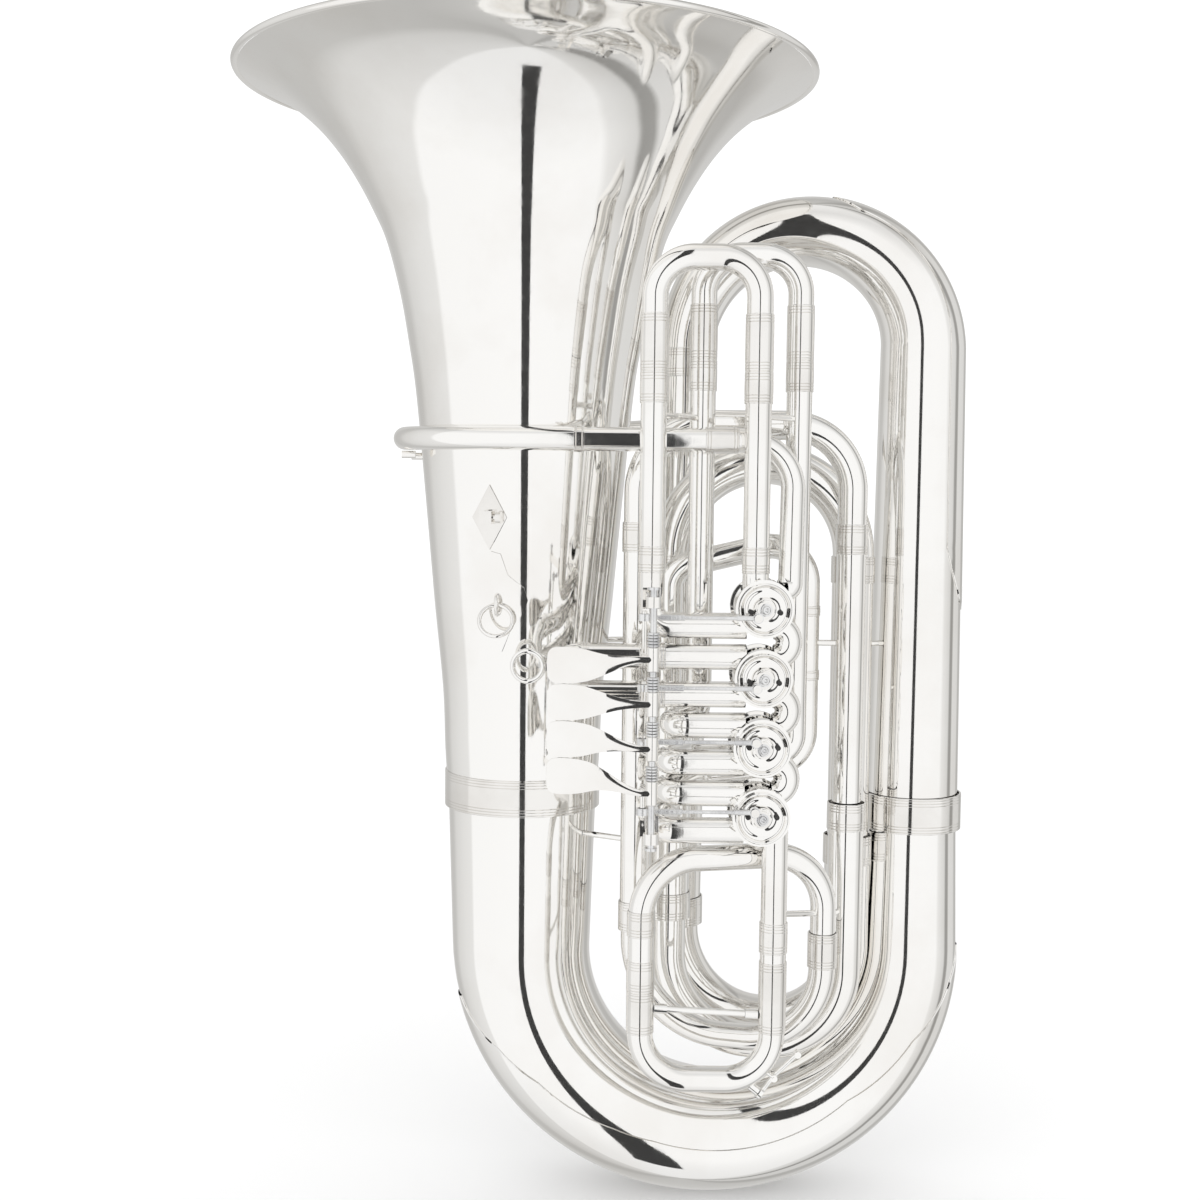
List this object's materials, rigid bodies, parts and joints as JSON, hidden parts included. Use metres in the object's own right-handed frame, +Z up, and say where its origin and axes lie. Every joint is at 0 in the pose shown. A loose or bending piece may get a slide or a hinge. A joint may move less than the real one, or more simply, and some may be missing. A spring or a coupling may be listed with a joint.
{
  "type": "tuba",
  "caption": "Bell-up bass brass horn with rotary valves, finger levers, pull-out valve and tuning slides and a wide flared bell, silver finish.",
  "frame": {"origin": "lowest point of the bottom bow, in the plane of the bell axis", "axes": "+Z up towards the bell mouth, +X from the bell towards the first branch, +Y from the valve side to the back"},
  "size_m": [0.6133, 0.4792, 0.9411],
  "materials": {
    "silver_plate": "bright silver plate, mirror polished",
    "nickel_silver": "nickel silver under plate, fine turned lines",
    "steel": "fine turned and polished steel",
    "cork": "black cork-rubber, matt"
  },
  "bodies": {
    "horn": {"bell": "silver_plate", "bell_rim_wire": "silver_plate", "bell_ferrule": "nickel_silver", "bottom_bow": "silver_plate", "bottom_bow_guard": "silver_plate", "right_ferrule": "nickel_silver", "first_branch": "silver_plate", "branch_guard": "silver_plate", "top_bow": "silver_plate", "top_bow_guard": "silver_plate", "second_branch": "silver_plate", "second_bottom_bow": "silver_plate", "upper_inner_bow": "silver_plate", "third_bottom_bow": "silver_plate", "front_upper_bow": "silver_plate", "tuning_loop": "silver_plate", "leadpipe": "silver_plate", "leadpipe_sleeves": "nickel_silver", "mouthpiece_receiver": "silver_plate", "leadpipe_braces": "silver_plate", "valve_casing_1": "silver_plate", "valve_casing_2": "silver_plate", "valve_casing_3": "silver_plate", "valve_casing_4": "silver_plate", "stop_plates": "silver_plate", "bumpers": "cork", "lever_axle": "steel", "axle_posts": "silver_plate", "springs": "steel", "knuckles": "silver_plate", "tuning_slide_legs": "silver_plate", "first_slide_legs": "silver_plate", "second_slide_legs": "silver_plate", "third_slide_legs": "silver_plate", "fourth_valve_loop": "silver_plate", "thumb_ring": "silver_plate", "lyre_plate": "nickel_silver", "lyre_clamp": "nickel_silver", "strap_plate": "silver_plate", "strap_eye": "silver_plate", "braces": "silver_plate"},
    "tuning_slide": {"main_tuning_slide": "silver_plate", "water_key_saddle": "silver_plate"},
    "water_key": {"water_key": "silver_plate"},
    "first_slide": {"first_slide": "silver_plate"},
    "second_slide": {"second_slide": "silver_plate"},
    "third_slide": {"third_slide": "silver_plate"},
    "strap_ring": {"strap_ring": "silver_plate"},
    "lever_1": {"lever_1": "silver_plate"},
    "rotor_1": {"rotor_1": "nickel_silver"},
    "link_1": {"link_1": "steel"},
    "lever_2": {"lever_2": "silver_plate"},
    "rotor_2": {"rotor_2": "nickel_silver"},
    "link_2": {"link_2": "steel"},
    "lever_3": {"lever_3": "silver_plate"},
    "rotor_3": {"rotor_3": "nickel_silver"},
    "link_3": {"link_3": "steel"},
    "lever_4": {"lever_4": "silver_plate"},
    "rotor_4": {"rotor_4": "nickel_silver"},
    "link_4": {"link_4": "steel"}
  },
  "joints": [
    {"name": "lever_1_hinge", "type": "hinge", "parent": "horn", "child": "lever_1", "pos_m": [-0.061, -0.182, 0.474], "axis": [0, 0, -1], "range_deg": [0, 26], "stiffness_Nm_per_rad": 0.35, "springref_deg": -28.65},
    {"name": "rotor_1_turn", "type": "hinge", "parent": "horn", "child": "rotor_1", "pos_m": [0.024, -0.125, 0.509], "axis": [0, 1, 0], "range_deg": [-90, 0]},
    {"name": "link_1_pivot", "type": "hinge", "parent": "rotor_1", "child": "link_1", "pos_m": [0.0179, -0.1567, 0.5029], "axis": [0, 1, 0], "range_deg": [0, 90]},
    {"name": "lever_2_hinge", "type": "hinge", "parent": "horn", "child": "lever_2", "pos_m": [-0.061, -0.182, 0.441], "axis": [0, 0, -1], "range_deg": [0, 26], "stiffness_Nm_per_rad": 0.35, "springref_deg": -28.65},
    {"name": "rotor_2_turn", "type": "hinge", "parent": "horn", "child": "rotor_2", "pos_m": [0.024, -0.125, 0.456], "axis": [0, 1, 0], "range_deg": [-90, 0]},
    {"name": "link_2_pivot", "type": "hinge", "parent": "rotor_2", "child": "link_2", "pos_m": [0.0179, -0.1567, 0.4499], "axis": [0, 1, 0], "range_deg": [0, 90]},
    {"name": "lever_3_hinge", "type": "hinge", "parent": "horn", "child": "lever_3", "pos_m": [-0.061, -0.182, 0.408], "axis": [0, 0, -1], "range_deg": [0, 26], "stiffness_Nm_per_rad": 0.35, "springref_deg": -28.65},
    {"name": "rotor_3_turn", "type": "hinge", "parent": "horn", "child": "rotor_3", "pos_m": [0.024, -0.125, 0.403], "axis": [0, 1, 0], "range_deg": [0, 90]},
    {"name": "link_3_pivot", "type": "hinge", "parent": "rotor_3", "child": "link_3", "pos_m": [0.0179, -0.1567, 0.4091], "axis": [0, 1, 0], "range_deg": [-90, 0]},
    {"name": "lever_4_hinge", "type": "hinge", "parent": "horn", "child": "lever_4", "pos_m": [-0.061, -0.182, 0.375], "axis": [0, 0, -1], "range_deg": [0, 26], "stiffness_Nm_per_rad": 0.35, "springref_deg": -28.65},
    {"name": "rotor_4_turn", "type": "hinge", "parent": "horn", "child": "rotor_4", "pos_m": [0.024, -0.125, 0.35], "axis": [0, 1, 0], "range_deg": [0, 90]},
    {"name": "link_4_pivot", "type": "hinge", "parent": "rotor_4", "child": "link_4", "pos_m": [0.0179, -0.1567, 0.3561], "axis": [0, 1, 0], "range_deg": [-90, 0]},
    {"name": "main_tuning_slide_pull", "type": "slide", "parent": "horn", "child": "tuning_slide", "axis": [0, 0, -1], "range_m": [0, 0.04]},
    {"name": "water_key_hinge", "type": "hinge", "parent": "tuning_slide", "child": "water_key", "pos_m": [0.0389, -0.125, 0.141], "axis": [0, -1, 0], "range_deg": [0, 10], "stiffness_Nm_per_rad": 0.2, "springref_deg": -22.92},
    {"name": "first_slide_pull", "type": "slide", "parent": "horn", "child": "first_slide", "axis": [0, 0, 1], "range_m": [0, 0.06]},
    {"name": "second_slide_pull", "type": "slide", "parent": "horn", "child": "second_slide", "axis": [-1, 0, 0], "range_m": [0, 0.03]},
    {"name": "third_slide_pull", "type": "slide", "parent": "horn", "child": "third_slide", "axis": [0, 0, 1], "range_m": [0, 0.06]},
    {"name": "strap_ring_swing", "type": "hinge", "parent": "horn", "child": "strap_ring", "pos_m": [-0.183, -0.07695, 0.505], "axis": [1, 0, 0], "range_deg": [-60, 12]}
  ],
  "couplings": [
    {"joint": "rotor_1_turn", "follows": "lever_1_hinge", "ratio": -3.4615},
    {"joint": "link_1_pivot", "follows": "lever_1_hinge", "ratio": 3.4615},
    {"joint": "rotor_2_turn", "follows": "lever_2_hinge", "ratio": -3.4615},
    {"joint": "link_2_pivot", "follows": "lever_2_hinge", "ratio": 3.4615},
    {"joint": "rotor_3_turn", "follows": "lever_3_hinge", "ratio": 3.4615},
    {"joint": "link_3_pivot", "follows": "lever_3_hinge", "ratio": -3.4615},
    {"joint": "rotor_4_turn", "follows": "lever_4_hinge", "ratio": 3.4615},
    {"joint": "link_4_pivot", "follows": "lever_4_hinge", "ratio": -3.4615}
  ]
}
